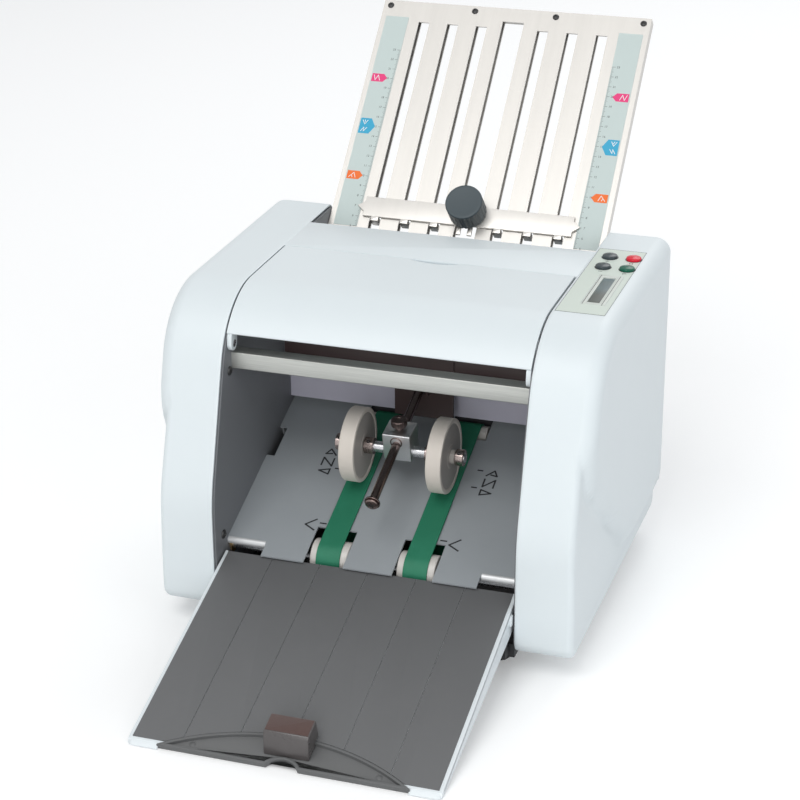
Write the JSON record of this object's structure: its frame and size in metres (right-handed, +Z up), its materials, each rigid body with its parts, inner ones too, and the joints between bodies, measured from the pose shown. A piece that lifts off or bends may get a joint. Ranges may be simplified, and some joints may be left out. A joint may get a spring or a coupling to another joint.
{
  "type": "paper folding machine",
  "caption": "Desktop paper folding machine with a sloping delivery bay, stacker wheels, a hinged tray and lid, and a slotted fold plate with a scale.",
  "frame": {"origin": "on the table surface under the body, midway between the side covers, 150 mm behind the front of the covers", "axes": "+X to the right as seen from the delivery side, +Y to the rear (feed side), +Z up"},
  "size_m": [0.364, 0.6349, 0.4266],
  "materials": {
    "cover_white": "fine matte",
    "frame_grey": "satin paint",
    "plate_grey": "satin paint",
    "back_lavender": "satin paint",
    "bar_steel": "brushed",
    "shaft_steel": "turned",
    "bracket_dark": "satin",
    "block_aluminium": "milled",
    "bush_brass": "turned",
    "pan_black": "matte paint",
    "foot_rubber": "matte",
    "belt_green": "matte",
    "drive_rubber": "matte",
    "wheel_cream": "matte",
    "pulley_white": "satin",
    "tray_white": "matte",
    "mat_grey": "fine texture",
    "extension_dark": "matte",
    "stop_brown": "felt",
    "sheet_steel": "brushed",
    "label_grey": "printed",
    "screw_black": "blackened",
    "knob_slate": "matte",
    "overlay_green": "satin film",
    "display_dark": "gloss",
    "board_green": "solder mask",
    "button_grey": "satin",
    "button_red": "satin",
    "button_green": "satin",
    "inlet_black": "matte",
    "rocker_red": "gloss",
    "motor_grey": "satin",
    "roller_dark": "ground rubber",
    "table_grey": "satin paint",
    "guide_black": "matte",
    "pad_brown": "matte"
  },
  "bodies": {
    "housing": {"base_pan": "pan_black", "rubber_feet": "foot_rubber", "left_side_frame": "frame_grey", "right_side_frame": "frame_grey", "tie_bars": "bar_steel", "frame_screws": "screw_black", "frame_bushings": "bush_brass", "left_side_cover": "cover_white", "right_side_cover": "cover_white", "rear_top_strip": "cover_white", "hinge_pins": "shaft_steel", "inner_back_plate": "back_lavender", "delivery_plate": "plate_grey", "delivery_belts": "belt_green", "wheel_bracket": "bracket_dark", "lower_fold_plate": "sheet_steel", "separation_pad": "pad_brown", "feed_table": "table_grey", "drive_motor": "motor_grey", "drive_belts": "drive_rubber", "control_overlay": "overlay_green", "display_module": "display_dark", "circuit_board": "board_green", "power_module": "inlet_black"},
    "lid": {"top_lid": "cover_white"},
    "tray": {"tray_shell": "tray_white", "tray_mat": "mat_grey"},
    "extension": {"tray_extension": "extension_dark", "stop_block": "stop_brown"},
    "front_delivery": {"front_delivery_shaft": "shaft_steel", "front_pulleys": "pulley_white"},
    "rear_delivery": {"rear_delivery_rollers": "pulley_white"},
    "rod": {"guide_rod": "shaft_steel"},
    "axle_carrier": {"wheel_block": "block_aluminium", "wheel_axle": "shaft_steel"},
    "clamp_screw": {"thumb_screw": "shaft_steel"},
    "left_stacker_wheel": {"left_wheel": "wheel_cream"},
    "right_stacker_wheel": {"right_wheel": "wheel_cream"},
    "upper_plate": {"upper_plate_front_sheet": "sheet_steel", "upper_plate_back_sheet": "sheet_steel", "scale_labels": "label_grey", "plate_screws": "screw_black"},
    "upper_stop": {"upper_stop_bar": "sheet_steel"},
    "upper_knob": {"upper_stop_knob": "knob_slate"},
    "lower_stop": {"lower_stop_bar": "sheet_steel"},
    "lower_knob": {"lower_stop_knob": "knob_slate"},
    "first_roller": {"fold_roller_1": "roller_dark"},
    "second_roller": {"fold_roller_2": "roller_dark"},
    "third_roller": {"fold_roller_3": "roller_dark"},
    "fourth_roller": {"fold_roller_4": "roller_dark"},
    "feeder": {"feed_roller": "roller_dark"},
    "motor_drive": {"motor_pulley": "shaft_steel"},
    "pad_knob": {"pressure_knob": "knob_slate"},
    "left_guide": {"left_side_guide": "guide_black"},
    "right_guide": {"right_side_guide": "guide_black"},
    "rear_grey_key": {"grey_button_rear": "button_grey"},
    "front_grey_key": {"grey_button_front": "button_grey"},
    "red_key": {"red_button": "button_red"},
    "green_key": {"green_button": "button_green"},
    "rocker": {"power_switch": "rocker_red"}
  },
  "joints": [
    {"name": "lid_hinge", "type": "hinge", "parent": "housing", "child": "lid", "pos_m": [0, -0.103, 0.238], "axis": [1, 0, 0], "range_deg": [0, 85]},
    {"name": "tray_hinge", "type": "hinge", "parent": "housing", "child": "tray", "pos_m": [0, -0.15, 0.051], "axis": [-1, 0, 0], "range_deg": [0, 95]},
    {"name": "extension_slide", "type": "slide", "parent": "tray", "child": "extension", "axis": [0, -0.9573, -0.289], "range_m": [0, 0.06]},
    {"name": "rod_lift", "type": "hinge", "parent": "housing", "child": "rod", "pos_m": [0, 0.00832, 0.17008], "axis": [-1, 0, 0], "range_deg": [0, 25]},
    {"name": "carrier_slide", "type": "slide", "parent": "rod", "child": "axle_carrier", "axis": [0, 0.9361, 0.3518], "range_m": [-0.05, 0.03]},
    {"name": "clamp_screw_turn", "type": "hinge", "parent": "axle_carrier", "child": "clamp_screw", "pos_m": [0, -0.0472, 0.1444], "axis": [0, -0.2079, 0.9781], "range_deg": [0, 270]},
    {"name": "left_wheel_spin", "type": "hinge", "parent": "axle_carrier", "child": "left_stacker_wheel", "pos_m": [0, -0.04776, 0.1365], "axis": [1, 0, 0], "continuous": true},
    {"name": "right_wheel_spin", "type": "hinge", "parent": "axle_carrier", "child": "right_stacker_wheel", "pos_m": [0, -0.04776, 0.1365], "axis": [1, 0, 0], "continuous": true},
    {"name": "upper_plate_lift", "type": "slide", "parent": "housing", "child": "upper_plate", "axis": [0, 0.7071, 0.7071], "range_m": [0, 0.1]},
    {"name": "upper_stop_slide", "type": "slide", "parent": "upper_plate", "child": "upper_stop", "axis": [0, 0.7071, 0.7071], "range_m": [-0.02, 0.16]},
    {"name": "upper_knob_turn", "type": "hinge", "parent": "upper_stop", "child": "upper_knob", "pos_m": [0, 0.14584, 0.27884], "axis": [0, -0.7071, 0.7071], "range_deg": [0, 270]},
    {"name": "lower_stop_slide", "type": "slide", "parent": "housing", "child": "lower_stop", "axis": [0, 0.9511, 0.309], "range_m": [-0.043, 0.043]},
    {"name": "lower_knob_turn", "type": "hinge", "parent": "lower_stop", "child": "lower_knob", "pos_m": [0, -0.02891, 0.06936], "axis": [0, 0.309, -0.9511], "range_deg": [0, 270]},
    {"name": "second_roller_spin", "type": "hinge", "parent": "housing", "child": "second_roller", "pos_m": [0, 0.08793, 0.12205], "axis": [1, 0, 0], "continuous": true},
    {"name": "first_roller_spin", "type": "hinge", "parent": "housing", "child": "first_roller", "pos_m": [0, 0.09658, 0.09542], "axis": [1, 0, 0], "continuous": true},
    {"name": "third_roller_spin", "type": "hinge", "parent": "housing", "child": "third_roller", "pos_m": [0, 0.06, 0.124], "axis": [1, 0, 0], "continuous": true},
    {"name": "fourth_roller_spin", "type": "hinge", "parent": "housing", "child": "fourth_roller", "pos_m": [0, 0.05707, 0.15185], "axis": [1, 0, 0], "continuous": true},
    {"name": "feeder_spin", "type": "hinge", "parent": "housing", "child": "feeder", "pos_m": [0, 0.12465, 0.1385], "axis": [1, 0, 0], "continuous": true},
    {"name": "motor_spin", "type": "hinge", "parent": "housing", "child": "motor_drive", "pos_m": [0, 0.11, 0.048], "axis": [1, 0, 0], "continuous": true},
    {"name": "rear_delivery_spin", "type": "hinge", "parent": "housing", "child": "rear_delivery", "pos_m": [0, 0.03106, 0.12094], "axis": [1, 0, 0], "continuous": true},
    {"name": "front_delivery_spin", "type": "hinge", "parent": "housing", "child": "front_delivery", "pos_m": [0, -0.11116, 0.06161], "axis": [1, 0, 0], "continuous": true},
    {"name": "pad_knob_turn", "type": "hinge", "parent": "housing", "child": "pad_knob", "pos_m": [0, 0.1303, 0.12109], "axis": [0, -0.309, 0.9511], "range_deg": [0, 300]},
    {"name": "left_guide_slide", "type": "slide", "parent": "housing", "child": "left_guide", "axis": [1, 0, 0], "range_m": [0, 0.035]},
    {"name": "right_guide_slide", "type": "slide", "parent": "housing", "child": "right_guide", "axis": [-1, 0, 0], "range_m": [0, 0.035]},
    {"name": "rear_grey_key_press", "type": "slide", "parent": "housing", "child": "rear_grey_key", "axis": [0, 0, -1], "range_m": [0, 0.0015], "stiffness_N_per_m": 400, "springref_m": -0.0005},
    {"name": "front_grey_key_press", "type": "slide", "parent": "housing", "child": "front_grey_key", "axis": [0, 0, -1], "range_m": [0, 0.0015], "stiffness_N_per_m": 400, "springref_m": -0.0005},
    {"name": "red_key_press", "type": "slide", "parent": "housing", "child": "red_key", "axis": [0, 0, -1], "range_m": [0, 0.0015], "stiffness_N_per_m": 400, "springref_m": -0.0005},
    {"name": "green_key_press", "type": "slide", "parent": "housing", "child": "green_key", "axis": [0, 0, -1], "range_m": [0, 0.0015], "stiffness_N_per_m": 400, "springref_m": -0.0005},
    {"name": "rocker_tilt", "type": "hinge", "parent": "housing", "child": "rocker", "pos_m": [0, 0.145, 0.105], "axis": [-1, 0, 0], "range_deg": [0, 16]}
  ],
  "couplings": [
    {"joint": "first_roller_spin", "follows": "second_roller_spin", "ratio": -1},
    {"joint": "third_roller_spin", "follows": "second_roller_spin", "ratio": -1},
    {"joint": "fourth_roller_spin", "follows": "second_roller_spin", "ratio": 1},
    {"joint": "feeder_spin", "follows": "second_roller_spin", "ratio": 1},
    {"joint": "motor_spin", "follows": "second_roller_spin", "ratio": -2},
    {"joint": "rear_delivery_spin", "follows": "second_roller_spin", "ratio": -1},
    {"joint": "front_delivery_spin", "follows": "second_roller_spin", "ratio": -0.62069},
    {"joint": "right_guide_slide", "follows": "left_guide_slide", "ratio": 1}
  ]
}
